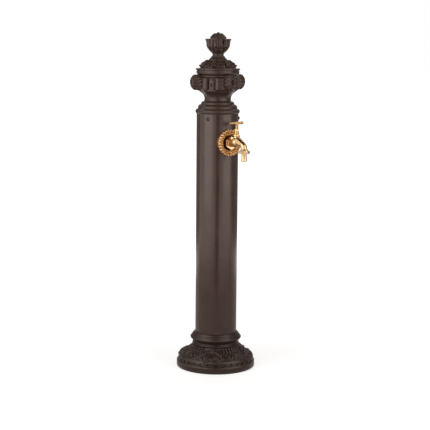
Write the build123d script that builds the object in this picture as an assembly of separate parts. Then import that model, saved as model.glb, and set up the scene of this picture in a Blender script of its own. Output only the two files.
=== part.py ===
from build123d import *
import os
from math import cos, hypot, pi, radians, sin

# Garden standpipe: a cast column on a flared foot, with a brass bib tap and a hose union.
# Millimetres, +Z up. The origin is the middle of the foot on the ground, the column stands
# on the Z axis and the tap points along -Y. A reach is a distance from the column's axis
# along the tap, and a height is measured from the ground.

# Fits and cuts
fit = 0.05
seat_gap = 0.1
cut_over = 2.0
nut_chamfer_share = 0.6

# Column tube
column_diameter = 108.0
column_wall = 3.0
tube_length = 572.0

# Foot casting
foot_diameter = 205.0
base_height = 92.0
foot_lip_height = 12.5
base_wall = 6.0
web_thickness = 8.0
rim_height = 4.0
rim_thickness = 5.0
# Each outline point is a share of the way from column to foot rim, and a share of the height.
lip_shares = [(1.0, 0.136), (0.99, 0.158), (0.96, 0.168)]
channel_shares = [(0.885, 0.178), (0.858, 0.196)]
shoulder_shares = [(0.862, 0.261), (0.832, 0.33), (0.66, 0.397), (0.433, 0.457), (0.309, 0.516)]
waist_shares = [(0.165, 0.576), (0.095, 0.626), (0.062, 0.663)]
torus_shares = [(0.15, 0.728), (0.235, 0.78), (0.256, 0.832), (0.2, 0.92), (0.066, 1.0)]

# Relief on the foot
relief_quarters = 4
base_turn = 4.0
tongue_count = 6
tongue_pitch = 7.6
tongue_width = 6.4
tongue_rise = 3.0
tongue_ends_share = (0.62, 0.40)
tongue_lean = 38.5
# Width and rise of a tongue at its top, its middle and its foot.
tongue_section_shares = [(0.55, 0.5), (0.85, 0.9), (0.75, 0.35)]
shield_width = 46.0
shield_rise = 5.0
shield_height_shares = (0.27, 0.60)
shell_fans = 5
# Place along a fan, and its width and rise there.
fan_section_shares = [(0, 0.5, 0.4), (0.6, 1.0, 1.0), (1, 0.7, 0.5)]

# Foot plate inside the tube, and its bolts
plate_thickness = 8.0
plate_hole_radius = 20.5
bolt_radius = 4.0
bolt_clearance = 0.5
bolt_circle_radius = 36.0
bolt_head_flats = 13.0
bolt_head_height = 5.3
bolt_count = 3

# Water inlet in the foot, and the riser
inlet_thread_radius = 13.0
inlet_flange_radius = 19.0
inlet_flange_height = 5.0
inlet_drop = 22.0
inlet_socket_wall = 4.0
inlet_socket_height = 22.0
supply_bore_radius = 9.3
supply_bore_depth = 16.0
waterway_radius = 7.5
locknut_flats = 36.0
locknut_height = 9.0
pipe_radius = 10.5
pipe_wall = 2.0
elbow_wall = 3.5
elbow_socket_drop = 32.0
elbow_socket_reach = 34.0
elbow_centre = 14.0

# Head casting
head_height = 115.0
spigot_length = 24.0
spigot_wall = 6.0
head_web_thickness = 11.0
drum_bore_share = 0.74
neck_bore_share = 0.52
# Shares of the column radius and of the head's height.
collar_shares = [(1.015, 0.0), (1.06, 0.05), (0.981, 0.104)]
collar_step_shares = [(0.93, 0.11), (0.932, 0.15), (0.843, 0.2)]
neck_step_shares = [(0.79, 0.208), (0.775, 0.243), (0.65, 0.278)]
neck_shares = [(0.631, 0.33), (0.656, 0.383), (0.73, 0.437), (0.85, 0.478)]
drum_low_share = (0.92, 0.51)
drum_high_shares = [(0.92, 0.81), (0.975, 0.815), (0.985, 0.84), (0.955, 0.86)]
cornice_shares = [(0.97, 0.885), (1.035, 0.915), (1.046, 0.95), (1.02, 0.985)]
head_lip_shares = [(0.97, 1.0)]

# Relief on the head
head_turn = -4.0
boss_reach = 79.0
boss_width = 27.0
boss_outline_shares = [(0.0, 0.51), (0.36, 0.525), (0.75, 0.60), (1.0, 0.70), (0.97, 0.80), (0.72, 0.875),
                       (0.2, 0.885), (0.0, 0.88)]
egg_radius = 16.0
egg_reach_share = 1.02
egg_spread = 23.5
egg_shares = (0.535, 0.80)
egg_round = 3.0
panel_width = 16.0
panel_depth = 5.5
tongue_plate_width = 10.5
tongue_plate_rise = 3.2
keyhole_width = 2.6
keyhole_height = 7.0

# Dome and finial
dome_height = 18.0
dome_wall = 5.0
dome_spigot_depth = 5.0
dome_shares = [(0.87, 0.0), (0.86, 0.17), (0.83, 0.31), (0.755, 0.40), (0.74, 0.55), (0.67, 0.76), (0.58, 0.89),
               (0.46, 1.0)]
leaf_count = 8
leaf_width = 27.0
leaf_rise = 3.2
leaf_lean = 44.4
# Width and rise of a leaf at its root, its middle and its tip.
leaf_section_shares = [(0.35, 0.3), (0.9, 1.0), (0.62, 0.45)]
finial_height = 73.0
cup_radius = 28.8
# Shares of the cup's radius and of the finial's height.
finial_foot_shares = [(0.86, 0.0), (0.81, 0.03), (0.68, 0.09), (0.54, 0.15), (0.49, 0.205), (0.53, 0.27),
                      (0.65, 0.34), (0.78, 0.42), (0.95, 0.5), (1.0, 0.58), (0.97, 0.66), (0.92, 0.72)]
bud_shares = [(0.76, 0.76), (0.72, 0.83), (0.52, 0.92), (0.24, 0.98), (0.0, 1.0)]
petal_reach = 32.3
petal_width = 21.0
petal_shares = (0.55, 0.72, 0.79)
petal_thickness = 3.4
petal_back_shares = (0.93, 0.99)
petal_width_shares = (0.9, 0.95, 0.35)
stud_radius = 5.0
stud_depth = 18.0
stud_nut_flats = 17.0
stud_nut_height = 8.0
stud_washer_radius = 12.0
stud_washer_height = 2.0
stud_tail = 3.0

# Screws that hold the head
screw_angles = (60.0, 180.0, 300.0)
screw_drop = 12.0
screw_radius = 2.9
screw_clearance = 0.3
screw_head_radius = 4.6
screw_head_height = 3.0
screw_crown_shares = [(1.0, 0.3), (0.8, 0.75), (0.55, 1.0)]
screw_length = 8.5
screw_socket_flats = 3.5
screw_socket_depth = 1.6

# Rosette behind the tap
tap_drop = 72.0
rosette_radius = 35.0
rosette_hole_radius = 20.0
rosette_skirt_radius = 31.5
rosette_plate = 2.6
rosette_base = 4.5
rosette_front = 8.4
rosette_leaves = 24
rosette_groove = 1.1
rosette_groove_share = 1.6

# Tap body
thread_radius = 10.48
shank_bore_radius = 6.0
collar_radius = 13.0
collar_length = 4.8
hex_flats = 29.6
hex_length = 13.0
hex_corner_radius = 16.9
neck_radius = 9.5
bulb_radius = 12.5
bulb_rise = 5.0
spindle_reach = 88.0
seat_radius = 3.2
seat_rise = 5.0
under_seat_radius = 3.8
under_seat_drop = 1.0
chamber_radius = 5.2
boss_radius = 7.2
boss_top_rise = 19.0
backnut_flats = 30.0
backnut_length = 6.0
inner_saddle_radius = 16.0
inner_saddle_thickness = 3.4

# Spout and hose union
tap_reach = 137.5
spout_radius = 8.0
spout_root_radius = 10.6
spout_bore_radius = 4.0
spout_slope = 20.0
spout_bend_radius = 16.0
outlet_drop = 17.8
outlet_thread_length = 4.3
outlet_shoulder = 3.0
union_flats = 25.6
union_height = 7.2
union_lip = 1.5
tail_radius = 6.5
tail_bore_radius = 5.0
tail_collar_radius = 10.1
tail_collar_height = 1.1
tail_drop = 41.3
tail_barb_rise = 0.65
tail_barb_length = 6.0
tail_crest_length = 3.0
tail_tip_height = 1.0
hose_washer_height = 1.1

# Head works of the tap
gasket_height = 0.7
bonnet_flats = 13.4
bonnet_flange_height = 4.0
bonnet_root_radius = 6.2
bonnet_top_radius = 5.3
bonnet_height = 12.3
bonnet_spigot_depth = 5.0
bonnet_neck_height = 2.0
spindle_thread_radius = 3.75
spindle_radius = 2.85
spindle_nose_radius = 2.6
spindle_lift = 4.5
gland_cup_radius = 4.1
gland_cup_depth = 4.0
packing_height = 1.65
gland_flats = 9.6
gland_height = 5.4
valve_radius = 4.7
valve_plate = 2.0
valve_stem_radius = 1.5
valve_stem_length = 9.4
valve_stud_radius = 1.0
washer_radius = 4.5
washer_height = 1.35
valve_nut_flats = 3.4
valve_nut_height = 1.8

# Handle
handle_length = 40.0
handle_radius = 3.4
handle_ball_radius = 4.2
handle_rise = 52.5
handle_hub_radius = 4.0
handle_hub_drop = 5.5
square_width = 4.0
square_depth = 4.4
handle_screw_radius = 1.2
handle_screw_head_radius = 2.2
handle_screw_head_height = 1.3
handle_screw_length = 8.0

# Places that follow from the sizes above
column_radius = column_diameter / 2
column_bore = column_radius - column_wall
foot_radius = foot_diameter / 2
tube_top = base_height + tube_length
web_bottom = base_height - web_thickness
rim_radius = column_bore - fit
plate_bottom = base_height + rim_height
plate_top = plate_bottom + plate_thickness
head_top = tube_top + head_height
dome_top = head_top + dome_height
total_height = dome_top + finial_height
screw_height = tube_top - screw_drop
tap_height = tube_top - tap_drop
inlet_bottom = web_bottom - inlet_drop
inlet_top = base_height + inlet_flange_height + inlet_socket_height + cut_over
pipe_bottom = inlet_top - inlet_socket_height
pipe_top = tap_height - elbow_centre
rosette_back = column_radius + seat_gap
collar_back = rosette_back + rosette_plate + seat_gap
hex_back = collar_back + collar_length
hex_front = hex_back + hex_length
seat_height = tap_height + seat_rise
boss_top = tap_height + boss_top_rise
bulb_height = tap_height + bulb_rise
outlet_reach = tap_reach - union_flats / 2 / cos(pi / 6)
outlet_height = tap_height - outlet_drop
tail_end = tap_height - tail_drop
gasket_top = boss_top + gasket_height
bonnet_top = gasket_top + bonnet_height
bonnet_bottom = gasket_top - bonnet_spigot_depth
gland_cup_bottom = bonnet_top - gland_cup_depth
bonnet_neck_bottom = gland_cup_bottom - bonnet_neck_height
washer_bottom = seat_height + seat_gap / 2
valve_bottom = washer_bottom + washer_height
valve_top = valve_bottom + valve_plate
valve_stem_top = valve_top + valve_stem_length
spindle_bottom = valve_top + seat_gap
handle_height = tap_height + handle_rise
hub_bottom = handle_height - handle_hub_drop
spindle_top = hub_bottom + square_depth


# Shapes that more than one piece uses
def turned(*stretches):
    """A solid turned about Z: two points are a straight stretch, three an arc, more a curve."""
    edges = []
    for stretch in stretches:
        points = [(radius, 0, height) for radius, height in stretch]
        if len(points) == 2:
            edges.append(Line(*points))
        elif len(points) == 3:
            edges.append(ThreePointArc(*points))
        else:
            edges.append(Spline(*points))
    first, last = stretches[0][0], stretches[-1][-1]
    if first != last:
        edges.append(Line((last[0], 0, last[1]), (first[0], 0, first[1])))
    return revolve(make_face(edges), Axis.Z)


def rod(radius, low, high):
    """A round bar on Z between two heights."""
    return Pos(0, 0, low) * Cylinder(radius, high - low, align=(Align.CENTER, Align.CENTER, Align.MIN))


def ring(outer, inner, low, high):
    """A round ring on Z with square edges."""
    return rod(outer, low, high) - rod(inner, low - cut_over, high + cut_over)


def cone(low_radius, high_radius, low, high):
    """A round taper on Z between two heights."""
    return Pos(0, 0, low) * Cone(low_radius, high_radius, high - low,
                                 align=(Align.CENTER, Align.CENTER, Align.MIN))


def hexagon(flats, low, high, corner_up=False):
    """A hexagonal bar on Z, a corner or a flat towards Y."""
    turn = 30 if corner_up else 0
    sketch = Rot(0, 0, turn) * RegularPolygon(flats / 2, 6, major_radius=False)
    return Pos(0, 0, low) * extrude(sketch, high - low)


def chamfered_nut(flats, low, high, corner_up=False):
    """A hexagonal bar whose corners are turned off at both ends."""
    corner = flats / 2 / cos(pi / 6)
    flat = flats / 2
    drop = (corner - flat) * nut_chamfer_share
    turning = turned(
        [(0, low), (flat, low)], [(flat, low), (corner, low + drop)],
        [(corner, low + drop), (corner, high - drop)], [(corner, high - drop), (flat, high)],
        [(flat, high), (0, high)])
    return hexagon(flats, low, high, corner_up) & turning


def round_about(shape, angles):
    """Copies of a shape about the column's axis."""
    return [Rot(0, 0, angle) * shape for angle in angles]


def along_tap(shape):
    """Lays a shape made on Z along the tap's inlet, its heights becoming reaches."""
    return Pos(0, 0, tap_height) * Rot(90, 0, 0) * shape


def at_spindle(shape):
    return Pos(0, -spindle_reach, 0) * shape


def at_outlet(shape):
    return Pos(0, -outlet_reach, 0) * shape


# Foot casting
def base_point(shares):
    radius_share, height_share = shares
    return (column_radius + (foot_radius - column_radius) * radius_share, base_height * height_share)


def inset(points, wall):
    """The same curve moved inwards by a wall, square to the curve."""
    moved = []
    for index, (radius, height) in enumerate(points):
        before = points[max(index - 1, 0)]
        after = points[min(index + 1, len(points) - 1)]
        run = hypot(after[0] - before[0], after[1] - before[1])
        across = ((after[1] - before[1]) / run, (before[0] - after[0]) / run)
        moved.append((radius - across[0] * wall, height - across[1] * wall))
    return moved


def base_casting():
    lip = [base_point(shares) for shares in lip_shares]
    channel = [base_point(shares) for shares in channel_shares]
    shoulder = [base_point(shares) for shares in shoulder_shares + waist_shares]
    torus = [base_point(shares) for shares in torus_shares]
    body = turned(
        [(0, 0), (foot_radius, 0)], [(foot_radius, 0), lip[0]], lip, [lip[-1], channel[0]],
        channel, [channel[-1]] + shoulder, [shoulder[-1]] + torus, [torus[-1], (0, base_height)])
    inside = inset([channel[-1]] + shoulder[:-1], base_wall)
    throat = inside[-1][0]
    body -= turned(
        [(0, -cut_over), (foot_radius - base_wall, -cut_over)],
        [(foot_radius - base_wall, -cut_over), (foot_radius - base_wall, foot_lip_height - base_wall)],
        [(foot_radius - base_wall, foot_lip_height - base_wall), inside[0]],
        inside, [inside[-1], (throat, web_bottom)], [(throat, web_bottom), (0, web_bottom)])
    body += ring(rim_radius, rim_radius - rim_thickness, base_height, plate_bottom)
    body += round_about(gadroon_group(), quarter_angles(base_turn))
    body += round_about(shield(), quarter_angles(base_turn + 45))
    body -= rod(inlet_thread_radius + screw_clearance, web_bottom - cut_over, base_height + cut_over)
    hole = Pos(bolt_circle_radius, 0, 0) * rod(bolt_radius + bolt_clearance,
                                               web_bottom - cut_over, base_height + cut_over)
    body -= round_about(hole, thirds())
    return body


def quarter_angles(turn):
    return [turn + 360 / relief_quarters * index for index in range(relief_quarters)]


def thirds():
    return [360 / bolt_count * index for index in range(bolt_count)]


def skirt_radius(height):
    """The foot's outer radius at a height between the shoulder and the waist."""
    points = [base_point(shares) for shares in shoulder_shares + waist_shares]
    for (outer, low), (inner, high) in zip(points, points[1:]):
        if low <= height <= high:
            return outer + (inner - outer) * (height - low) / (high - low)
    return points[-1][0]


def gadroon(angle):
    """One raised tongue on the skirt: narrow at the waist and full at its lower end."""
    heights = [base_height * share for share in tongue_ends_share]
    high, low = heights
    lean = radians(tongue_lean)
    sections = []
    for height, (width_share, rise_share) in zip((high, (high + low) / 2, low), tongue_section_shares):
        radius = skirt_radius(height)
        half = tongue_width / 2 * width_share
        rise = tongue_rise * rise_share
        plane = Plane(origin=(0, -radius, height), x_dir=(1, 0, 0), z_dir=(0, sin(lean), cos(lean)))
        outline = Polyline((half, -tongue_rise), (half, 0), (half / 2, rise), (-half / 2, rise),
                           (-half, 0), (-half, -tongue_rise), close=True)
        sections.append(plane * make_face(outline))
    return Rot(0, 0, angle) * loft(sections, ruled=True)


def gadroon_group():
    middle = (tongue_count - 1) / 2
    return Part() + [gadroon((index - middle) * tongue_pitch) for index in range(tongue_count)]


def shield():
    """The arched cartouche between two groups of tongues."""
    low, high = [base_height * share for share in shield_height_shares]
    return Part() + shell_lobes(low, high)


def shell_lobes(low, high):
    """Five fans of a shell, spread from its foot."""
    lobes = []
    foot_height = low + (high - low) / 8
    for index in range(shell_fans):
        lean = (index - (shell_fans - 1) / 2) * shield_width / shell_fans
        reach_share = 1 - abs(index - (shell_fans - 1) / 2) / shell_fans
        top_height = foot_height + (high - foot_height) * reach_share
        top_angle = lean / skirt_radius(top_height) * 180 / pi
        foot_angle = lean / 3 / skirt_radius(foot_height) * 180 / pi
        top = polar(skirt_radius(top_height), top_angle, top_height)
        foot = polar(skirt_radius(foot_height), foot_angle, foot_height)
        lobes.append(fan(foot, top, shield_width / shell_fans / 2, shield_rise))
    return lobes


def polar(radius, angle, height):
    return Vector(radius * sin(radians(angle)), -radius * cos(radians(angle)), height)


def fan(foot, top, half_width, rise):
    """A ruled lobe from a narrow foot to a broad top."""
    along = (top - foot).normalized()
    sections = []
    for share, width_share, rise_share in fan_section_shares:
        centre = foot + (top - foot) * share
        outward = Vector(centre.X, centre.Y, 0).normalized()
        across = along.cross(outward).normalized()
        half = half_width * width_share
        high = rise * rise_share
        plane = Plane(origin=centre, x_dir=across, z_dir=along)
        if plane.y_dir.dot(outward) < 0:
            plane = Plane(origin=centre, x_dir=across * -1, z_dir=along)
        outline = Polyline((half, -rise / 3), (half, 0), (half / 2, high), (-half / 2, high), (-half, 0),
                           (-half, -rise / 3), close=True)
        sections.append(plane * make_face(outline))
    return loft(sections, ruled=True)


# Column
def column_tube():
    tube = ring(column_radius, column_bore, base_height + seat_gap, tube_top)
    hole = rod(screw_radius + screw_clearance, column_bore - cut_over, column_radius + cut_over)
    tube -= round_about(Pos(0, 0, screw_height) * Rot(90, 0, 0) * hole, screw_angles)
    shank_hole = rod(thread_radius + screw_clearance, column_bore - column_wall * 2, column_radius + cut_over)
    return tube - along_tap(shank_hole)


def tube_foot_plate():
    plate = ring(column_bore - fit, plate_hole_radius, plate_bottom + seat_gap, plate_top)
    hole = Pos(bolt_circle_radius, 0, 0) * rod(bolt_radius + fit, plate_bottom - cut_over, plate_top + cut_over)
    return plate - round_about(hole, thirds())


def foot_bolts():
    head_top_height = web_bottom - seat_gap
    bolt = chamfered_nut(bolt_head_flats, head_top_height - bolt_head_height, head_top_height)
    bolt += rod(bolt_radius, head_top_height, plate_top)
    return Part() + round_about(Pos(bolt_circle_radius, 0, 0) * bolt, thirds())


# Water supply
def inlet_fitting():
    socket_radius = pipe_radius + inlet_socket_wall
    flange_bottom = base_height + seat_gap
    body = rod(inlet_thread_radius, inlet_bottom, flange_bottom)
    body += rod(inlet_flange_radius, flange_bottom, flange_bottom + inlet_flange_height)
    body += rod(socket_radius, flange_bottom + inlet_flange_height, inlet_top)
    body -= rod(supply_bore_radius, inlet_bottom - cut_over, inlet_bottom + supply_bore_depth)
    body -= rod(waterway_radius, inlet_bottom, inlet_top)
    return body - rod(pipe_radius + fit, pipe_bottom, inlet_top + cut_over)


def inlet_locknut():
    nut_top = web_bottom - seat_gap
    nut = chamfered_nut(locknut_flats, nut_top - locknut_height, nut_top)
    return nut - rod(inlet_thread_radius + fit, nut_top - locknut_height - cut_over, nut_top + cut_over)


def riser_pipe():
    return ring(pipe_radius, pipe_radius - pipe_wall, pipe_bottom + seat_gap, pipe_top - seat_gap)


def tap_elbow():
    outer = pipe_radius + elbow_wall
    body = rod(outer, tap_height - elbow_socket_drop, tap_height)
    body += along_tap(rod(outer, 0, elbow_socket_reach))
    body += Pos(0, 0, tap_height) * Sphere(outer)
    body -= rod(waterway_radius, tap_height - elbow_socket_drop, tap_height)
    body -= along_tap(rod(waterway_radius, 0, elbow_socket_reach))
    body -= Pos(0, 0, tap_height) * Sphere(waterway_radius)
    body -= rod(pipe_radius + fit, tap_height - elbow_socket_drop - cut_over, pipe_top)
    return body - along_tap(rod(thread_radius + fit, elbow_centre, elbow_socket_reach + cut_over))


# Head casting
def head_point(shares):
    radius_share, height_share = shares
    return (column_radius * radius_share, tube_top + head_height * height_share)


def head_casting():
    collar = [head_point(shares) for shares in collar_shares]
    collar_step = [head_point(shares) for shares in collar_step_shares]
    neck_step = [head_point(shares) for shares in neck_step_shares]
    neck = [head_point(shares) for shares in neck_shares]
    drum_low = head_point(drum_low_share)
    drum_high = [head_point(shares) for shares in drum_high_shares]
    cornice = [head_point(shares) for shares in cornice_shares]
    lip = head_point(head_lip_shares[0])
    underside = tube_top + seat_gap
    spigot_radius = column_bore - fit
    spigot_bottom = tube_top - spigot_length
    collar[0] = (collar[0][0], underside)
    body = turned(
        [(0, spigot_bottom), (spigot_radius, spigot_bottom)],
        [(spigot_radius, spigot_bottom), (spigot_radius, underside)],
        [(spigot_radius, underside), collar[0]],
        collar, [collar[-1], collar_step[0]], collar_step,
        [collar_step[-1], neck_step[0]], neck_step,
        [neck_step[-1]] + neck, [neck[-1], drum_low], [drum_low, drum_high[0]],
        [drum_high[0], drum_high[1]], drum_high[1:], [drum_high[-1], cornice[0]],
        cornice, [cornice[-1], lip], [lip, (0, head_top)])
    body += round_about(boss(), quarter_angles(head_turn))
    body += round_about(egg(), [angle + side * egg_spread for angle in quarter_angles(head_turn + 45)
                                for side in (-1, 1)])
    panel, plate, keyhole = panel_cut(), panel_plate(), panel_keyhole()
    body -= round_about(panel, quarter_angles(head_turn + 45))
    body += round_about(plate, quarter_angles(head_turn + 45))
    body -= round_about(keyhole, quarter_angles(head_turn + 45))
    neck_bore = column_radius * neck_bore_share
    drum_bore = column_radius * drum_bore_share
    web_low = neck[0][1]
    web_high = web_low + head_web_thickness
    spigot_bore = spigot_radius - spigot_wall
    body -= turned(
        [(0, spigot_bottom - cut_over), (spigot_bore, spigot_bottom - cut_over)],
        [(spigot_bore, spigot_bottom - cut_over), (spigot_bore, tube_top)],
        [(spigot_bore, tube_top), (neck_bore, neck_step[0][1])],
        [(neck_bore, neck_step[0][1]), (neck_bore, web_low)], [(neck_bore, web_low), (0, web_low)])
    body -= turned(
        [(0, web_high), (neck_bore, web_high)], [(neck_bore, web_high), (drum_bore, drum_low[1])],
        [(drum_bore, drum_low[1]), (drum_bore, head_top + cut_over)],
        [(drum_bore, head_top + cut_over), (0, head_top + cut_over)])
    body -= rod(stud_radius + screw_clearance, web_low - cut_over, web_high + cut_over)
    hole = rod(screw_radius + fit, spigot_bore - cut_over, spigot_radius + cut_over)
    return body - round_about(Pos(0, 0, screw_height) * Rot(90, 0, 0) * hole, screw_angles)


def boss():
    """A scroll boss that stands out of the drum: its side outline within its rounded plan."""
    root = column_radius * drum_low_share[0] - panel_depth
    side = []
    for reach_share, height_share in boss_outline_shares:
        side.append((0, -(root + (boss_reach - root) * reach_share), tube_top + head_height * height_share))
    curve = Spline(*side[1:-2])
    edges = [Line(side[0], side[1]), curve, Line(side[-3], side[-2]), Line(side[-2], side[-1]),
             Line(side[-1], side[0])]
    slab = extrude(make_face(edges), boss_width, dir=(1, 0, 0), both=True)
    half = boss_width / 2
    inner = (root + boss_reach) / 2
    plan = [Line((half, -root), (half, -inner)),
            ThreePointArc((half, -inner), (0, -boss_reach), (-half, -inner)),
            Line((-half, -inner), (-half, -root)), Line((-half, -root), (half, -root))]
    column = Pos(0, 0, tube_top) * extrude(make_face(plan), head_height)
    return slab & column


def egg():
    """One smooth upright lobe of the drum."""
    low, high = [tube_top + head_height * share for share in egg_shares]
    lobe = rod(egg_radius, low, high)
    lobe = fillet(lobe.edges().filter_by(GeomType.CIRCLE), egg_round)
    return Pos(0, egg_radius - column_radius * egg_reach_share, 0) * lobe


def panel_cut():
    low, high = [tube_top + head_height * share for share in egg_shares]
    depth = column_radius * drum_low_share[0] - panel_depth
    block = Box(panel_width, column_radius, high - low, align=(Align.CENTER, Align.MAX, Align.MIN))
    return Pos(0, -depth, low) * block


def panel_plate():
    """The round-topped tongue that stands in each panel."""
    low, high = [tube_top + head_height * share for share in egg_shares]
    half = tongue_plate_width / 2
    shoulder = high - half - panel_depth
    outline = [Line((-half, low), (half, low)), Line((half, low), (half, shoulder)),
               ThreePointArc((half, shoulder), (0, shoulder + half), (-half, shoulder)),
               Line((-half, shoulder), (-half, low))]
    depth = column_radius * drum_low_share[0] - panel_depth
    face = Plane.XZ.offset(depth - cut_over) * make_face(outline)
    return extrude(face, tongue_plate_rise + cut_over)


def panel_keyhole():
    low, high = [tube_top + head_height * share for share in egg_shares]
    depth = column_radius * drum_low_share[0] - panel_depth
    slot = Plane.XZ.offset(depth) * (Pos(0, (low + high) / 2 - tongue_plate_rise)
                                     * SlotOverall(keyhole_height, keyhole_width, rotation=90))
    return extrude(slot, tongue_plate_rise + cut_over)


def head_screws():
    reach = column_radius + seat_gap
    tip = reach - screw_length
    screw = rod(screw_radius, tip, reach)
    crown = [(screw_head_radius * r, reach + screw_head_height * z) for r, z in screw_crown_shares]
    screw += turned([(0, reach), (screw_head_radius, reach)], [(screw_head_radius, reach), crown[0]],
                    crown, [crown[-1], (0, crown[-1][1])])
    top = reach + screw_head_height
    screw -= hexagon(screw_socket_flats, top - screw_socket_depth, top + cut_over)
    return Part() + round_about(Pos(0, 0, screw_height) * Rot(90, 0, 0) * screw, screw_angles)


# Dome and finial
def dome_casting():
    bottom = head_top + seat_gap
    points = [(column_radius * r, bottom + (dome_top - bottom) * z) for r, z in dome_shares]
    spigot_radius = column_radius * drum_bore_share - fit
    spigot_bottom = head_top - dome_spigot_depth
    body = turned(
        [(0, spigot_bottom), (spigot_radius, spigot_bottom)],
        [(spigot_radius, spigot_bottom), (spigot_radius, bottom)], [(spigot_radius, bottom), points[0]],
        points[:3], [points[2], points[3]], points[3:], [points[-1], (0, dome_top)])
    body += round_about(dome_leaf(points), [360 / leaf_count * index for index in range(leaf_count)])
    bore = spigot_radius - dome_wall
    body -= turned(
        [(0, spigot_bottom - cut_over), (bore, spigot_bottom - cut_over)],
        [(bore, spigot_bottom - cut_over), (bore, bottom)],
        [(bore, bottom), (points[-1][0], dome_top - dome_wall)],
        [(points[-1][0], dome_top - dome_wall), (0, dome_top - dome_wall)])
    return body - rod(stud_radius + screw_clearance, bottom, dome_top + cut_over)


def dome_leaf(points):
    """One broad leaf that lies on the dome, its tip down."""
    top, middle, low = points[-2], points[-4], points[2]
    lean = radians(leaf_lean)
    sections = []
    for (radius, height), (width_share, rise_share) in zip((top, middle, low), leaf_section_shares):
        half = leaf_width / 2 * width_share
        rise = leaf_rise * rise_share
        plane = Plane(origin=(0, -radius, height), x_dir=(1, 0, 0), z_dir=(0, sin(lean), cos(lean)))
        outline = Polyline((half, -leaf_rise * 2), (half, -leaf_rise / 2), (half / 2, rise), (0, rise / 3),
                           (-half / 2, rise), (-half, -leaf_rise / 2), (-half, -leaf_rise * 2), close=True)
        sections.append(plane * make_face(outline))
    return loft(sections, ruled=True)


def finial_casting():
    bottom = dome_top + seat_gap
    height = finial_height - seat_gap

    def place(shares):
        return (cup_radius * shares[0], bottom + height * shares[1])

    cup = [place(shares) for shares in finial_foot_shares]
    bud = [place(shares) for shares in bud_shares]
    body = turned([(0, bottom), cup[0]], cup, [cup[-1], bud[0]], bud, [bud[-1], (0, bottom)])
    body += round_about(petal(bottom, height), quarter_angles(45))
    return body - rod(stud_radius + fit, bottom - cut_over, bottom + stud_depth + seat_gap)


def petal(bottom, height):
    """A petal of the cup, curling out to its tip."""
    root, lip, tip = [bottom + height * share for share in petal_shares]
    half = petal_width / 2
    sections = []
    backs = [cup_radius * share for share in petal_back_shares] + [petal_reach - petal_thickness / 2]
    for radius, level, width_share in zip(backs, (root, lip, tip), petal_width_shares):
        plane = Plane(origin=(0, -radius, level), x_dir=(1, 0, 0), z_dir=(0, 0, 1))
        outline = Polyline((half * width_share, petal_thickness), (half * width_share, 0),
                           (0, -petal_thickness / 2), (-half * width_share, 0),
                           (-half * width_share, petal_thickness), close=True)
        sections.append(plane * make_face(outline))
    return loft(sections, ruled=True)


def stud_places():
    web_low = tube_top + head_height * neck_shares[0][1]
    washer_bottom_height = web_low - seat_gap - stud_washer_height
    nut_bottom = washer_bottom_height - seat_gap - stud_nut_height
    return web_low, washer_bottom_height, nut_bottom


def finial_stud():
    nut_bottom = stud_places()[2]
    return rod(stud_radius, nut_bottom - stud_tail, dome_top + stud_depth)


def finial_washer():
    web_low, low, _ = stud_places()
    return ring(stud_washer_radius, stud_radius + screw_clearance, low, web_low - seat_gap)


def finial_nut():
    _, washer_low, low = stud_places()
    nut = chamfered_nut(stud_nut_flats, low, washer_low - seat_gap)
    return nut - rod(stud_radius + fit, low - cut_over, washer_low + cut_over)


# Tap
def tap_rosette():
    """A wreath on a saddle-backed ring. The tap's collar clamps its inner plate to the column."""
    front = rosette_back + rosette_front
    base = rosette_back + rosette_base
    hole = rosette_hole_radius
    rim_middle = (rosette_radius + hole) / 2
    body = rod(rosette_skirt_radius, 0, base)
    body += turned(
        [(0, base - rosette_plate), (rosette_radius - rosette_plate / 2, base - rosette_plate)],
        [(rosette_radius - rosette_plate / 2, base - rosette_plate), (rosette_radius, base)],
        [(rosette_radius, base), (rim_middle, front), (hole, base)], [(hole, base), (0, base)])
    groove = turned_groove(rim_middle, front)
    body -= [Rot(0, 0, 360 / rosette_leaves * index) * groove for index in range(rosette_leaves)]
    body -= rod(hole, rosette_back + rosette_plate, front + cut_over)
    body -= rod(thread_radius + screw_clearance, -cut_over, front)
    keep = Pos(0, 0, tap_height) * Cylinder(column_radius + seat_gap, rosette_radius * 4)
    return along_tap(body) - keep


def turned_groove(middle, front):
    """The V between two leaves of the wreath."""
    half = rosette_groove
    outline = Polyline((-half, front + half), (half, front + half), (0, front - rosette_groove * rosette_groove_share), close=True)
    face = Plane.XZ * make_face(outline)
    return Pos(0, middle + rosette_radius / 2, 0) * extrude(face, rosette_radius)


def inner_saddle():
    """The curved washer between the column's inner wall and the backnut."""
    inner_reach = column_bore - inner_saddle_thickness
    body = along_tap(ring(inner_saddle_radius, thread_radius + screw_clearance, inner_reach, column_bore))
    wall = Pos(0, 0, tap_height) * Cylinder(column_bore - seat_gap, inner_saddle_radius * 4)
    return body & wall


def tap_backnut():
    high = column_bore - inner_saddle_thickness - seat_gap
    low = high - backnut_length
    nut = chamfered_nut(backnut_flats, low, high)
    return along_tap(nut - rod(thread_radius + fit, low - cut_over, high + cut_over))


def spout_path():
    """Reach and height of the spout's line: a straight slope, then a bend to straight down."""
    slope = radians(spout_slope)
    bend_end = (outlet_reach, outlet_height + outlet_thread_length)
    centre = (bend_end[0] - spout_bend_radius, bend_end[1])
    turn = pi / 2 - slope
    bend_start = (centre[0] + spout_bend_radius * cos(turn), centre[1] + spout_bend_radius * sin(turn))
    middle = (centre[0] + spout_bend_radius * cos(turn / 2), centre[1] + spout_bend_radius * sin(turn / 2))
    run = bend_start[0] - spindle_reach
    start = (spindle_reach, bend_start[1] + run * sin(slope) / cos(slope))
    return start, bend_start, middle, bend_end


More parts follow.
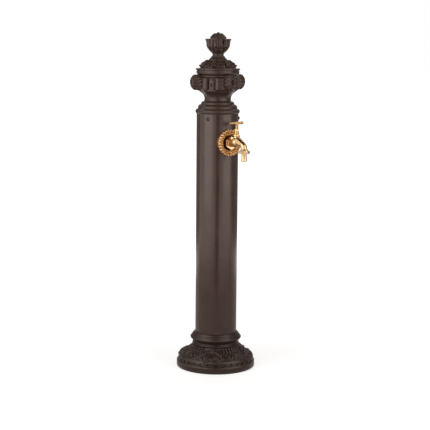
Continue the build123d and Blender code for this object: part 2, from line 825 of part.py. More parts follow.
def spout_solid(radius, low):
    """A round bar along the spout's line, down to a height."""
    start, bend_start, middle, bend_end = [(0, -reach, height) for reach, height in spout_path()]
    end = (0, bend_end[1], low)
    path = Wire([Line(start, bend_start).edge(), ThreePointArc(bend_start, middle, bend_end).edge(),
                 Line(bend_end, end).edge()])
    section = Plane(origin=start, z_dir=path % 0) * Circle(radius)
    return sweep(section, path)


def tap_body():
    shank_start = elbow_centre + seat_gap
    inlet = rod(thread_radius, shank_start, collar_back)
    inlet += rod(collar_radius, collar_back, hex_back)
    inlet += hexagon(hex_flats, hex_back, hex_front, corner_up=True) & rod(hex_corner_radius, hex_back, hex_front)
    inlet += rod(neck_radius, hex_front, spindle_reach)
    body = along_tap(inlet)
    body += at_spindle(Pos(0, 0, bulb_height) * Sphere(bulb_radius))
    body += at_spindle(rod(boss_radius, bulb_height, boss_top))
    body += spout_root() + spout_solid(spout_radius, outlet_height)
    shoulder = outlet_height + outlet_thread_length
    body += at_outlet(rod(thread_radius, outlet_height, shoulder))
    body += at_outlet(cone(thread_radius, spout_radius, shoulder, shoulder + outlet_shoulder))
    body -= along_tap(rod(shank_bore_radius, shank_start - cut_over, hex_front))
    under_seat = rod(under_seat_radius, hex_front - cut_over, spindle_reach + under_seat_radius)
    body -= Pos(0, 0, -under_seat_drop) * along_tap(under_seat)
    body -= at_spindle(rod(seat_radius, tap_height - under_seat_drop, seat_height + cut_over))
    body -= at_spindle(rod(chamber_radius, seat_height, boss_top + cut_over))
    return body - spout_solid(spout_bore_radius, outlet_height - cut_over)


def spout_root():
    """The thick taper where the spout leaves the bulb."""
    start, bend_start = spout_path()[:2]
    length = hypot(bend_start[0] - start[0], bend_start[1] - start[1])
    taper = cone(spout_root_radius, spout_radius, chamber_radius, length)
    return Pos(0, -start[0], start[1]) * Rot(90 + spout_slope, 0, 0) * taper


def bonnet_gasket():
    return at_spindle(ring(boss_radius, chamber_radius, boss_top, gasket_top - fit))


def bonnet():
    body = rod(chamber_radius - fit, bonnet_bottom, gasket_top)
    body += chamfered_nut(bonnet_flats, gasket_top, gasket_top + bonnet_flange_height)
    body += cone(bonnet_root_radius, bonnet_top_radius, gasket_top + bonnet_flange_height, bonnet_top)
    body -= rod(spindle_thread_radius + fit, bonnet_bottom - cut_over, bonnet_neck_bottom)
    body -= rod(spindle_radius + fit, bonnet_bottom, bonnet_top)
    return at_spindle(body - rod(gland_cup_radius, gland_cup_bottom, bonnet_top + cut_over))


def gland_packing():
    low = gland_cup_bottom + fit
    return at_spindle(ring(gland_cup_radius - fit, spindle_radius + fit, low, low + packing_height))


def gland_nut():
    low = gland_cup_bottom + packing_height + seat_gap
    flange = bonnet_top + seat_gap
    nut = rod(gland_cup_radius - fit, low, flange)
    nut += chamfered_nut(gland_flats, flange, flange + gland_height)
    return at_spindle(nut - rod(spindle_radius + fit, low - cut_over, flange + gland_height + cut_over))


def spindle():
    thread_low = bonnet_bottom - fit
    thread_high = bonnet_neck_bottom - spindle_lift - fit
    body = rod(spindle_nose_radius, spindle_bottom, thread_low)
    body += rod(spindle_thread_radius, thread_low, thread_high)
    body += rod(spindle_radius, thread_high, hub_bottom)
    body += Pos(0, 0, hub_bottom) * Box(square_width, square_width, square_depth,
                                        align=(Align.CENTER, Align.CENTER, Align.MIN))
    body -= rod(valve_stem_radius + fit, spindle_bottom - cut_over, valve_stem_top + seat_gap)
    return at_spindle(body - rod(handle_screw_radius + fit, spindle_top - handle_screw_length, spindle_top + cut_over))


def jumper_valve():
    body = rod(valve_radius, valve_bottom, valve_top)
    body += rod(valve_stem_radius, valve_top, valve_stem_top)
    return at_spindle(body + rod(valve_stud_radius, washer_bottom - valve_nut_height, valve_bottom))


def jumper_washer():
    return at_spindle(ring(washer_radius, valve_stud_radius + fit, washer_bottom, valve_bottom - fit))


def jumper_nut():
    high = washer_bottom - fit
    nut = hexagon(valve_nut_flats, high - valve_nut_height, high)
    return at_spindle(nut - rod(valve_stud_radius + fit, high - valve_nut_height - cut_over, high + cut_over))


def t_handle():
    half = handle_length / 2
    ball = half - handle_ball_radius
    bar = Pos(-ball, 0, 0) * Rot(0, 90, 0) * rod(handle_radius, 0, ball * 2)
    bar += [Pos(side * ball, 0, 0) * Sphere(handle_ball_radius) for side in (-1, 1)]
    body = Pos(0, 0, handle_height) * bar
    body += rod(handle_hub_radius, hub_bottom + seat_gap, handle_height)
    socket = square_width + fit * 2
    body -= Pos(0, 0, hub_bottom - cut_over) * Box(socket, socket, square_depth + cut_over + fit,
                                                   align=(Align.CENTER, Align.CENTER, Align.MIN))
    head_low = handle_height + handle_radius - handle_screw_head_height - seat_gap
    body -= rod(handle_screw_radius + fit * 2, spindle_top, head_low + cut_over)
    return at_spindle(body - rod(handle_screw_head_radius + fit, head_low, head_low + cut_over * 2))


def handle_screw():
    head_low = handle_height + handle_radius - handle_screw_head_height - seat_gap / 2
    tip = spindle_top - handle_screw_length + seat_gap
    body = rod(handle_screw_radius, tip, head_low)
    return at_spindle(body + rod(handle_screw_head_radius, head_low, head_low + handle_screw_head_height))


# Hose union
def union_places():
    washer_low = outlet_height - seat_gap - hose_washer_height
    collar_high = washer_low - fit
    collar_low = collar_high - tail_collar_height
    nut_low = collar_low - fit * 2 - union_lip
    return washer_low, collar_high, collar_low, nut_low


def hose_washer():
    low = union_places()[0]
    return at_outlet(ring(tail_collar_radius, tail_bore_radius, low, low + hose_washer_height))


def hose_tail():
    _, collar_high, collar_low, _ = union_places()
    barb = tail_radius + tail_barb_rise
    crest_low = tail_end + tail_tip_height
    crest_high = crest_low + tail_crest_length
    barb_high = tail_end + tail_barb_length
    body = rod(tail_collar_radius, collar_low, collar_high)
    body += rod(tail_radius, barb_high, collar_high)
    body += cone(barb, tail_radius, crest_high, barb_high)
    body += rod(barb, crest_low, crest_high)
    body += cone(tail_radius, barb, tail_end, crest_low)
    return at_outlet(body - rod(tail_bore_radius, tail_end - cut_over, collar_high + cut_over))


def union_nut():
    nut_low = union_places()[3]
    nut_high = nut_low + union_height
    nut = chamfered_nut(union_flats, nut_low, nut_high, corner_up=True)
    nut -= rod(thread_radius + fit, nut_low + union_lip, nut_high + cut_over)
    return at_outlet(nut - rod(tail_radius + seat_gap * 4, nut_low - cut_over, nut_high))


pieces = {
    "base_casting": base_casting, "column_tube": column_tube, "tube_foot_plate": tube_foot_plate,
    "foot_bolts": foot_bolts, "inlet_fitting": inlet_fitting, "inlet_locknut": inlet_locknut,
    "riser_pipe": riser_pipe, "tap_elbow": tap_elbow, "head_casting": head_casting,
    "head_screws": head_screws, "dome_casting": dome_casting, "finial_casting": finial_casting,
    "finial_stud": finial_stud, "finial_washer": finial_washer, "finial_nut": finial_nut,
    "tap_rosette": tap_rosette, "inner_saddle": inner_saddle, "tap_backnut": tap_backnut,
    "tap_body": tap_body, "bonnet_gasket": bonnet_gasket, "bonnet": bonnet,
    "gland_packing": gland_packing, "gland_nut": gland_nut, "spindle": spindle,
    "jumper_valve": jumper_valve, "jumper_washer": jumper_washer, "jumper_nut": jumper_nut,
    "t_handle": t_handle, "handle_screw": handle_screw, "union_nut": union_nut,
    "hose_washer": hose_washer, "hose_tail": hose_tail,
}

os.makedirs("parts", exist_ok=True)
for name, make in pieces.items():
    export_step(make(), f"parts/{name}.step")
print("total height", total_height, "reach", tap_reach, "foot", foot_diameter)
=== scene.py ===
from math import cos, hypot, pi, radians, sin, sqrt

import bpy
import numpy as np
from mathutils import Matrix, Vector


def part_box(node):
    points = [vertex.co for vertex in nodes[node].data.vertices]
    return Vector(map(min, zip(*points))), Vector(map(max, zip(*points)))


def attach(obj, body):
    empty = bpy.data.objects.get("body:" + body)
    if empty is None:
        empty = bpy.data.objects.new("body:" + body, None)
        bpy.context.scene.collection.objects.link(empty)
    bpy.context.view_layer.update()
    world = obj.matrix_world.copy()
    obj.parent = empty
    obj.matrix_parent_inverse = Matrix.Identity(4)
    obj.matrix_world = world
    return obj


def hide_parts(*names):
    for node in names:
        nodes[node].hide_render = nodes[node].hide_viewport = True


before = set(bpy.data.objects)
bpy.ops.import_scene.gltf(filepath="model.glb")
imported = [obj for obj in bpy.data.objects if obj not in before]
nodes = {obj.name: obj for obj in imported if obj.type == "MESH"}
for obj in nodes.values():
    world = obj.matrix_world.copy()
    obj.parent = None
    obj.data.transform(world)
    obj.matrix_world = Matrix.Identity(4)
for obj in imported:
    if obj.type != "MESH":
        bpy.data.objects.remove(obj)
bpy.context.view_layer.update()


# Studio.
# A pale floor and backdrop with three large soft lamps, and dark cards that only metal and gloss see,
# as a product photographer hangs them. None of it is part of the standpipe.
camera_turn = radians(33.2)
camera_distance = 3.063
camera_height = 0.86
camera_aim = 0.3995
camera_roll = radians(0.5)
camera_lens = 99.6
frame_shift = -0.0040
far_clip = 60
world_fill = 0.30
floor_size = 40
floor_grey = (0.60, 0.59, 0.58, 1)
floor_glow = 0.66
glow_starts = 0.15
glow_full = 1.4

bpy.ops.object.select_all(action="DESELECT")
eye = Vector((-camera_distance * sin(camera_turn), -camera_distance * cos(camera_turn), camera_height))
aim = Vector((0, 0, camera_aim))
bpy.ops.object.camera_add(location=eye)
camera = bpy.context.object
camera.rotation_euler = ((aim - eye).to_track_quat("-Z", "Y").to_matrix()
                         @ Matrix.Rotation(camera_roll, 3, "Z")).to_euler()
camera.data.lens = camera_lens
camera.data.shift_x = frame_shift
camera.data.clip_end = far_clip
bpy.context.scene.camera = camera
bpy.context.scene.view_settings.view_transform = "Standard"


def new_material(name):
    """A material with an empty node tree, ready for a finish."""
    finish = bpy.data.materials.new(name)
    finish.use_nodes = True
    finish.node_tree.nodes.clear()
    return finish


def node(tree, kind, **settings):
    """Adds one shader node. The settings are its own properties; the caller sets its sockets."""
    made = tree.nodes.new(kind)
    for key, value in settings.items():
        setattr(made, key, value)
    return made


def background_rays(tree):
    """1 where a ray comes from the camera, or from a reflection or a refraction in the object."""
    path = node(tree, "ShaderNodeLightPath")
    total = None
    for ray in ("Is Camera Ray", "Is Glossy Ray", "Is Transmission Ray"):
        if total is None:
            total = path.outputs[ray]
            continue
        largest = node(tree, "ShaderNodeMath", operation="MAXIMUM")
        tree.links.new(total, largest.inputs[0])
        tree.links.new(path.outputs[ray], largest.inputs[1])
        total = largest.outputs[0]
    return total


def studio_world():
    """White to look at, and a weak even fill as light."""
    world = bpy.data.worlds.new("studio")
    bpy.context.scene.world = world
    world.use_nodes = True
    tree = world.node_tree
    tree.nodes.clear()
    fill = node(tree, "ShaderNodeBackground")
    fill.inputs["Color"].default_value = (1.0, 0.99, 0.98, 1)
    fill.inputs["Strength"].default_value = world_fill
    white = node(tree, "ShaderNodeBackground")
    white.inputs["Color"].default_value = (1, 1, 1, 1)
    white.inputs["Strength"].default_value = 1.0
    mixed = node(tree, "ShaderNodeMixShader")
    output = node(tree, "ShaderNodeOutputWorld")
    tree.links.new(background_rays(tree), mixed.inputs["Fac"])
    tree.links.new(fill.outputs[0], mixed.inputs[1])
    tree.links.new(white.outputs[0], mixed.inputs[2])
    tree.links.new(mixed.outputs[0], output.inputs["Surface"])


def floor_finish():
    """Matt white paper that keeps the shadow, lifted to the backdrop's white for the camera."""
    paper = new_material("studio_paper")
    tree = paper.node_tree
    matt = node(tree, "ShaderNodeBsdfDiffuse")
    matt.inputs["Color"].default_value = floor_grey
    glow = node(tree, "ShaderNodeEmission")
    glow.inputs["Color"].default_value = (1, 1, 1, 1)
    place = node(tree, "ShaderNodeTexCoord")
    far = node(tree, "ShaderNodeVectorMath", operation="LENGTH")
    tree.links.new(place.outputs["Object"], far.inputs[0])
    backdrop = node(tree, "ShaderNodeMapRange", interpolation_type="SMOOTHSTEP")
    backdrop.inputs["From Min"].default_value = glow_starts
    backdrop.inputs["From Max"].default_value = glow_full
    backdrop.inputs["To Min"].default_value = floor_glow
    backdrop.inputs["To Max"].default_value = 1.0
    tree.links.new(far.outputs["Value"], backdrop.inputs["Value"])
    lift = node(tree, "ShaderNodeMath", operation="MULTIPLY")
    tree.links.new(background_rays(tree), lift.inputs[0])
    tree.links.new(backdrop.outputs["Result"], lift.inputs[1])
    tree.links.new(lift.outputs[0], glow.inputs["Strength"])
    both = node(tree, "ShaderNodeAddShader")
    output = node(tree, "ShaderNodeOutputMaterial")
    tree.links.new(matt.outputs[0], both.inputs[0])
    tree.links.new(glow.outputs[0], both.inputs[1])
    tree.links.new(both.outputs[0], output.inputs["Surface"])
    return paper


def card_paper(name, level):
    """A card of one grey, which gives off its own level so that no lamp changes it."""
    card = new_material(name)
    tree = card.node_tree
    glow = node(tree, "ShaderNodeEmission")
    glow.inputs["Color"].default_value = (1, 0.98, 0.96, 1)
    glow.inputs["Strength"].default_value = level
    output = node(tree, "ShaderNodeOutputMaterial")
    tree.links.new(glow.outputs[0], output.inputs["Surface"])
    return card


def place_round(turn, distance, height):
    """A place at an angle from the photographer's line, positive to the photographer's right."""
    angle = turn - camera_turn
    return Vector((distance * sin(angle), -distance * cos(angle), height))


def for_gloss_only(card, name, finish):
    card.name = name
    card.data.materials.append(finish)
    card.visible_camera = False
    card.visible_diffuse = False
    card.visible_shadow = False


def hang_card(name, turn, distance, height, width, tall, finish):
    bpy.ops.mesh.primitive_plane_add(size=1)
    card = bpy.context.object
    card.scale = (width, tall, 1)
    card.location = place_round(turn, distance, height)
    card.rotation_euler = (Vector((0, 0, height)) - card.location).to_track_quat("Z", "Y").to_euler()
    for_gloss_only(card, name, finish)


def lay_card(name, height, size, finish):
    bpy.ops.mesh.primitive_plane_add(size=size, location=(0, 0, height))
    for_gloss_only(bpy.context.object, name, finish)


def hang_lamp(name, turn, distance, height, width, tall, watts, aim_height):
    bpy.ops.object.light_add(type="AREA", location=place_round(turn, distance, height))
    lamp = bpy.context.object
    lamp.name = name
    lamp.data.shape = "RECTANGLE"
    lamp.data.size, lamp.data.size_y = width, tall
    lamp.data.energy = watts
    lamp.rotation_euler = (Vector((0, 0, aim_height)) - lamp.location).to_track_quat("-Z", "Y").to_euler()


studio_world()
bpy.ops.mesh.primitive_plane_add(size=floor_size)
floor = bpy.context.object
floor.name = "studio_floor"
floor.data.materials.append(floor_finish())
black_paper = card_paper("black_card", level=0.01)
grey_paper = card_paper("grey_card", level=0.45)
dark_paper = card_paper("dark_card", level=0.22)
hang_card("card_front", turn=radians(2), distance=0.62, height=0.48, width=0.2, tall=0.95,
          finish=black_paper)
hang_card("card_right", turn=radians(124), distance=1.6, height=0.95, width=2.6, tall=1.9,
          finish=dark_paper)
hang_card("card_left", turn=radians(-141), distance=1.6, height=0.95, width=2.0, tall=1.9,
          finish=dark_paper)
lay_card("card_floor", height=0.004, size=2.1, finish=grey_paper)
lay_card("card_above", height=1.75, size=1.7, finish=black_paper)
hang_lamp("lamp_left", turn=radians(-50), distance=2.2, height=1.4, width=2.1, tall=2.5, watts=25,
          aim_height=0.9)
hang_lamp("lamp_right", turn=radians(54), distance=2.4, height=1.4, width=1.9, tall=2.5, watts=19,
          aim_height=0.9)
hang_lamp("lamp_top", turn=radians(180), distance=0.9, height=2.3, width=1.2, tall=1.2, watts=8,
          aim_height=0.8)


# Column.
# A drawn tube, painted dark brown and baked. It stands on the foot casting round its rim,
# and the head's spigot closes it at the top.
column_low, column_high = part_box("column_tube")
column_radius = column_high.x
column_wall = 0.003
column_bore = column_radius - column_wall
column_foot = column_low.z
column_top = column_high.z
edge_ease = 0.0006
# Pieces that sit on each other are parted by a seam
seam = 0.0001
cast_smooth_below = radians(32)
enamel_dark = (0.050, 0.0260, 0.0186)
enamel_light = (0.066, 0.0352, 0.0262)
enamel_reflection = (1.0, 0.88, 0.84, 1)


def select_only(piece):
    """Leaves one piece selected and active, in object mode."""
    if bpy.context.object is not None and bpy.context.object.mode != "OBJECT":
        bpy.ops.object.mode_set(mode="OBJECT")
    bpy.ops.object.select_all(action="DESELECT")
    piece.select_set(True)
    bpy.context.view_layer.objects.active = piece


def eased(points, ease=edge_ease, parts=3):
    """The outline with each inner corner rounded a little."""
    out = [points[0]]
    for before, corner, after in zip(points, points[1:], points[2:]):
        a, b, c = Vector(before), Vector(corner), Vector(after)
        first, second = a - b, c - b
        reach = min(ease, first.length * 0.45, second.length * 0.45)
        if reach < 1e-6 or abs(first.normalized().dot(second.normalized())) > 0.999:
            out.append(corner)
            continue
        start, end = b + first.normalized() * reach, b + second.normalized() * reach
        for index in range(parts + 1):
            t = index / parts
            p = start * (1 - t) ** 2 + b * (2 * t * (1 - t)) + end * t ** 2
            out.append((p.x, p.y))
    out.append(points[-1])
    return out


def flowing(points, parts=6):
    """A smooth curve through the points."""
    ends = [2 * Vector(points[0]) - Vector(points[1]), 2 * Vector(points[-1]) - Vector(points[-2])]
    knots = [ends[0]] + [Vector(p) for p in points] + [ends[1]]
    out = []
    for a, b, c, d in zip(knots, knots[1:], knots[2:], knots[3:]):
        for index in range(parts):
            t = index / parts
            p = 0.5 * (2 * b + (c - a) * t + (2 * a - 5 * b + 4 * c - d) * t ** 2
                       + (3 * b - a - 3 * c + d) * t ** 3)
            out.append((p.x, p.y))
    out.append(tuple(points[-1]))
    return out


def lathe(name, outline, steps):
    """Spins an outline of (radius, height) points about the upright axis."""
    mesh = bpy.data.meshes.new(name)
    count = len(outline)
    mesh.from_pydata([(r, 0, z) for r, z in outline], [(i, i + 1) for i in range(count - 1)], [])
    piece = bpy.data.objects.new(name, mesh)
    bpy.context.scene.collection.objects.link(piece)
    select_only(piece)
    bpy.ops.object.mode_set(mode="EDIT")
    bpy.ops.mesh.select_all(action="SELECT")
    bpy.ops.mesh.spin(steps=steps, angle=2 * pi, center=(0, 0, 0), axis=(0, 0, 1))
    bpy.ops.mesh.select_all(action="SELECT")
    bpy.ops.mesh.remove_doubles(threshold=1e-6)
    bpy.ops.mesh.normals_make_consistent(inside=False)
    bpy.ops.object.mode_set(mode="OBJECT")
    bpy.ops.object.shade_smooth_by_angle(angle=cast_smooth_below)
    return piece


def noise(tree, place, scale, detail):
    """Soft clouds at a small scale, and a fine grain at a large one."""
    cloud = node(tree, "ShaderNodeTexNoise")
    cloud.inputs["Scale"].default_value = scale
    cloud.inputs["Detail"].default_value = detail
    tree.links.new(place.outputs["Object"], cloud.inputs["Vector"])
    return cloud


def two_tones(tree, cloud, dark, light, stops=(0, 1)):
    """A ramp from a dark tone to a light one."""
    tone = node(tree, "ShaderNodeValToRGB")
    for element, stop, colour in zip(tone.color_ramp.elements, stops, (dark, light)):
        element.position = stop
        element.color = (*colour, 1)
    tree.links.new(cloud.outputs["Fac"], tone.inputs["Fac"])
    return tone


def hollow_shade_edge_highlight(tree, tone, shapes, levels):
    """Darkens a tone in the hollows and lightens it on the edges, by the mesh's pointiness: painted shade
    with some dirt in the hollows, and a painted highlight on the edges.
    """
    shape = node(tree, "ShaderNodeNewGeometry")
    level = node(tree, "ShaderNodeMapRange")
    level.inputs["From Min"].default_value, level.inputs["From Max"].default_value = shapes
    level.inputs["To Min"].default_value, level.inputs["To Max"].default_value = levels
    tree.links.new(shape.outputs["Pointiness"], level.inputs["Value"])
    shaded_tone = node(tree, "ShaderNodeVectorMath", operation="SCALE")
    tree.links.new(tone.outputs["Color"], shaded_tone.inputs[0])
    tree.links.new(level.outputs["Result"], shaded_tone.inputs["Scale"])
    return shaded_tone


def gloss_between(tree, cloud, rough):
    """Takes the roughness from its low to its high value, by the cloud."""
    gloss = node(tree, "ShaderNodeMapRange")
    gloss.inputs["To Min"].default_value, gloss.inputs["To Max"].default_value = rough
    tree.links.new(cloud.outputs["Fac"], gloss.inputs["Value"])
    return gloss


def bumps(tree, grain, strength, depth):
    bump = node(tree, "ShaderNodeBump")
    bump.inputs["Strength"].default_value = strength
    bump.inputs["Distance"].default_value = depth
    tree.links.new(grain.outputs["Fac"], bump.inputs["Height"])
    return bump


def close_material(tree, surface):
    output = node(tree, "ShaderNodeOutputMaterial")
    tree.links.new(surface.outputs[0], output.inputs["Surface"])


def enamel(name, shade, rough, sheen):
    """Dark brown baked enamel: satin, a little orange peel, with painted shade darkening its hollows and a
    painted highlight lightening its edges.
    """
    finish = new_material(name)
    tree = finish.node_tree
    place = node(tree, "ShaderNodeTexCoord")
    cloud = noise(tree, place, scale=26, detail=5)
    tone = two_tones(tree, cloud, enamel_dark, enamel_light, stops=(0.3, 0.7))
    # Painted shade in the hollows, down to 0.4 of the tone, and a painted highlight on the edges, up to 1.5
    # of it
    shaded_tone = hollow_shade_edge_highlight(tree, tone, shapes=(0.44, 0.56), levels=(0.40 * shade, 1.5 * shade))
    peel = noise(tree, place, scale=900, detail=2)
    gloss = gloss_between(tree, cloud, rough)
    bump = bumps(tree, peel, strength=0.12, depth=0.0002)
    paint = node(tree, "ShaderNodeBsdfPrincipled")
    paint.inputs["Specular IOR Level"].default_value = sheen
    paint.inputs["Specular Tint"].default_value = enamel_reflection
    tree.links.new(shaded_tone.outputs["Vector"], paint.inputs["Base Color"])
    tree.links.new(gloss.outputs["Result"], paint.inputs["Roughness"])
    tree.links.new(bump.outputs["Normal"], paint.inputs["Normal"])
    close_material(tree, paint)
    return finish


def finish_piece(piece, material, body="standpipe"):
    """Gives a new piece its finish and the body that it rides on."""
    piece.data.materials.clear()
    piece.data.materials.append(material)
    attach(piece, body)


brown = enamel("brown_enamel", shade=1.0, rough=(0.21, 0.28), sheen=0.55)
tube_outline = eased([(column_bore, column_foot), (column_radius, column_foot), (column_radius, column_top),
                      (column_bore, column_top), (column_bore, column_foot)])
tube = lathe("column_tube_painted", tube_outline, steps=192)
finish_piece(tube, brown)
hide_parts("column_tube")


# Foot casting.
# One hollow casting: a round lip, a channel of small dents, a skirt with a shell in each quarter and
# tongues over a broad leaf between them, and a rounded collar that the column stands on.
foot_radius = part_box("base_casting")[1].x
foot_top = column_foot
foot_turn = 4.0
tongue_rise = 0.0048
tongues_in_turn = 48.65
tongue_group_half = 25.5
palm_root = 0.0655
palm_reach = 0.0275
palm_lobes = 16
arch_radius = 0.0815
arch_half = 0.0255
arch_tall = 0.0158
arch_beads = 24
shell_foot = 0.0955
shell_size = 0.0240
shell_ribs = 18
scroll_side = 0.0268
scroll_radius = 0.0868
scroll_size = 0.0058
dent_count = 32
dent_depth = 0.0042
skirt_slope = [(0.0978, 0.0232), (0.0966, 0.0288), (0.0925, 0.0335), (0.0878, 0.0362), (0.0812, 0.0394),
               (0.0755, 0.0424), (0.0700, 0.0468), (0.0650, 0.0510), (0.0616, 0.0545), (0.0592, 0.0580)]


def along(points, count):
    """Points spread evenly along a polyline."""
    path = np.array(points, float)
    reach = np.r_[0, np.cumsum(np.hypot(*np.diff(path, axis=0).T))]
    at = np.linspace(0, reach[-1], count)
    return np.c_[np.interp(at, reach, path[:, 0]), np.interp(at, reach, path[:, 1])]


def carve(name, shown, hidden, relief, steps, rows):
    """Wraps a grid round the axis over a shown outline, raised by a relief in metres, and closes it
    over the hidden outline, which is plain. The relief is given the turn in degrees from the tap's
    side, the radius and the height. Both outlines are lists of (radius, height) that run on."""
    path = np.r_[along(shown, rows), np.array(hidden[1:], float)]
    bpy.ops.object.select_all(action="DESELECT")
    bpy.ops.mesh.primitive_grid_add(x_subdivisions=steps, y_subdivisions=len(path) - 1, size=2)
    piece = bpy.context.object
    piece.name = name
    piece.data.name = name
    count = len(piece.data.vertices)
    flat = np.empty(count * 3)
    piece.data.vertices.foreach_get("co", flat)
    flat = flat.reshape(-1, 3)
    turn = (flat[:, 0] + 1) / 2 * 360
    row = np.rint((flat[:, 1] + 1) / 2 * (len(path) - 1)).astype(int)
    slope = np.gradient(path, axis=0)
    slope /= np.maximum(np.hypot(slope[:, 0], slope[:, 1]), 1e-9)[:, None]
    outward = np.c_[slope[:, 1], -slope[:, 0]]
    if outward[: rows, 0].mean() < 0:
        outward = -outward
    radius, height = path[row, 0], path[row, 1]
    fade = np.clip(np.minimum(row, rows - 1 - row) / 3, 0, 1)
    rise = np.where(row < rows, relief(turn, radius, height) * fade, 0)
    radius = np.maximum(radius + outward[row, 0] * rise, 0)
    height = height + outward[row, 1] * rise
    angle = np.radians(turn)
    flat = np.c_[radius * np.sin(angle), -radius * np.cos(angle), height]
    piece.data.vertices.foreach_set("co", flat.ravel())
    piece.data.update()
    select_only(piece)
    bpy.ops.object.mode_set(mode="EDIT")
    bpy.ops.mesh.select_all(action="SELECT")
    bpy.ops.mesh.remove_doubles(threshold=2e-6)
    bpy.ops.mesh.normals_make_consistent(inside=False)
    bpy.ops.object.mode_set(mode="OBJECT")
    bpy.ops.object.shade_smooth()
    return piece


def from_nearest(turn, first, count):
    """Degrees from the nearest of a ring of equal places."""
    pitch = 360 / count
    return (turn - first + pitch / 2) % pitch - pitch / 2


def hill(x, half):
    """A round hill, 1 at 0 and level at half."""
    t = np.clip(np.abs(x) / half, 0, 1)
    return (1 - t * t) ** 2


def dome_of(x, half):
    """A full round, steep at its edge."""
    return np.sqrt(np.clip(1 - (x / half) ** 2, 0, 1))


def rise_over(x, start, end):
    """0 before start, 1 after end, and smooth between."""
    t = np.clip((x - start) / (end - start), 0, 1)
    return t * t * (3 - 2 * t)


def leaf(across, up, half, length, lobes, crown, vein, cut=0.62, sweep=0.42):
    """An acanthus leaf: a midrib, side veins that sweep outwards, and a lobed edge. up runs from 0 at
    the root to length at the tip; across is measured from the midrib."""
    t = up / length
    u = np.abs(across) / half
    body = np.clip(np.sin(pi * np.clip(t * 0.80 + 0.14, 0, 1)), 0, 1) ** 0.55
    phase = lobes * (t - sweep * u)
    edge = body * (0.74 + 0.26 * np.abs(np.sin(pi * phase)) ** 0.7)
    inside = rise_over(edge - u, 0.0, 0.16) * rise_over(t, 0.0, 0.06) * rise_over(1 - t, 0.0, 0.08)
    lobe = 1 - cut + cut * np.abs(np.sin(pi * phase)) ** 0.8
    rib = hill(u, 0.13)
    return inside * (crown * lobe * (0.55 + 0.45 * dome_of(u, 1.15)) + vein * rib)


def tongues(gap, radius):
    """A group of tongues side by side, under the collar."""
    tongue = from_nearest(gap + 3.7, 0, tongues_in_turn)
    in_group = rise_over(tongue_group_half - np.abs(gap), 0, 1.2)
    tongue_end = rise_over(0.0745 - radius, 0, 0.004) * rise_over(radius, 0.0590, 0.0605)
    return tongue_rise * dome_of(tongue, 2.75) * in_group * tongue_end


def broad_leaf(gap, radius):
    """The broad leaf below the tongues, its root up."""
    across = np.radians(gap) * radius
    angle = np.degrees(np.arctan2(across, np.maximum(radius - palm_root, 1e-4)))
    reach = np.hypot(across, radius - palm_root)
    lobe = from_nearest(angle, 0, palm_lobes)
    edge = palm_reach - 0.0040 * (1 - hill(lobe, 11.2))
    palm = rise_over(edge - reach, 0, 0.0022) * rise_over(reach, 0.0075, 0.010)
    palm = palm * (0.0008 + 0.0040 * dome_of(lobe, 10.4)) * rise_over(84 - np.abs(angle), 0, 8)
    return palm * rise_over(radius, 0.0735, 0.0755)


def shell_in_arch(side, radius):
    """A shell that fans out from a knob, in an arched frame with beads."""
    arch_x, arch_y = side / arch_half, (radius - arch_radius) / arch_tall
    ring = np.hypot(arch_x, arch_y)
    frame_rise = 0.0024 * hill(ring - 1.0, 0.15)
    arch_turn = np.degrees(np.arctan2(arch_y, arch_x))
    beads = 0.0014 * hill(from_nearest(arch_turn, 0, arch_beads), 6) * hill(ring - 1.0, 0.16)
    out = shell_foot - radius
    angle = np.degrees(np.arctan2(side, np.maximum(out, 1e-4)))
    reach = np.hypot(side, out)
    rib = from_nearest(angle, 0, shell_ribs)
    edge = shell_size - 0.0022 * (1 - hill(rib, 10))
    fans = rise_over(edge - reach, 0, 0.002) * rise_over(reach, 0.003, 0.006)
    fans = fans * (0.0004 + 0.0042 * dome_of(rib, 9.2)) * rise_over(0.93 - ring, 0, 0.1)
    knob = 0.0036 * hill(reach, 0.0058)
    return np.maximum.reduce([frame_rise + beads, fans, knob])


def scrolls(side, radius):
    """A scroll at each foot of the arch."""
    curls = 0
    for sign in (-1, 1):
        x = side - sign * scroll_side
        y = radius - scroll_radius
        reach = np.hypot(x, y)
        swirl = np.sin(reach / 0.0011 - sign * np.arctan2(y, x))
        curls = curls + rise_over(scroll_size - reach, 0, 0.0012) * (0.0026 + 0.0009 * swirl)
        curls = curls + 0.0022 * hill(reach, 0.0018)
    return curls


def foot_relief(turn, radius, height):
    """Shells with a small leaf over each, tongues over broad leaves, and dents, in metres of rise."""
    skirt = rise_over(height, 0.0235, 0.0262) * (1 - rise_over(height, 0.0575, 0.0592))
    gap = from_nearest(turn, foot_turn, 4)
    shell = from_nearest(turn, foot_turn + 45, 4)
    side = np.radians(shell) * 0.078
    crown = leaf(side, 0.0700 - radius, 0.0085, 0.0105, lobes=3, crown=0.0026, vein=0.0010)
    crown = crown * rise_over(radius, 0.0592, 0.0602)
    shells = np.maximum.reduce([shell_in_arch(side, radius), crown, scrolls(side, radius)])
    shells = shells * rise_over(24 - np.abs(shell), 0, 2)
    ground = -0.0014 * skirt
    raised = np.maximum(np.maximum(tongues(gap, radius), broad_leaf(gap, radius)), shells)
    skirt_rise = skirt * (ground + raised)
    # Dents under the skirt's edge
    dent = from_nearest(turn, foot_turn - 3.0, dent_count)
    notch = rise_over(3.1 - np.abs(dent), 0, 0.9) * rise_over(height, 0.0184, 0.0190)
    notch = notch * rise_over(0.0240 - height, 0, 0.0014)
    return skirt_rise - dent_depth * notch


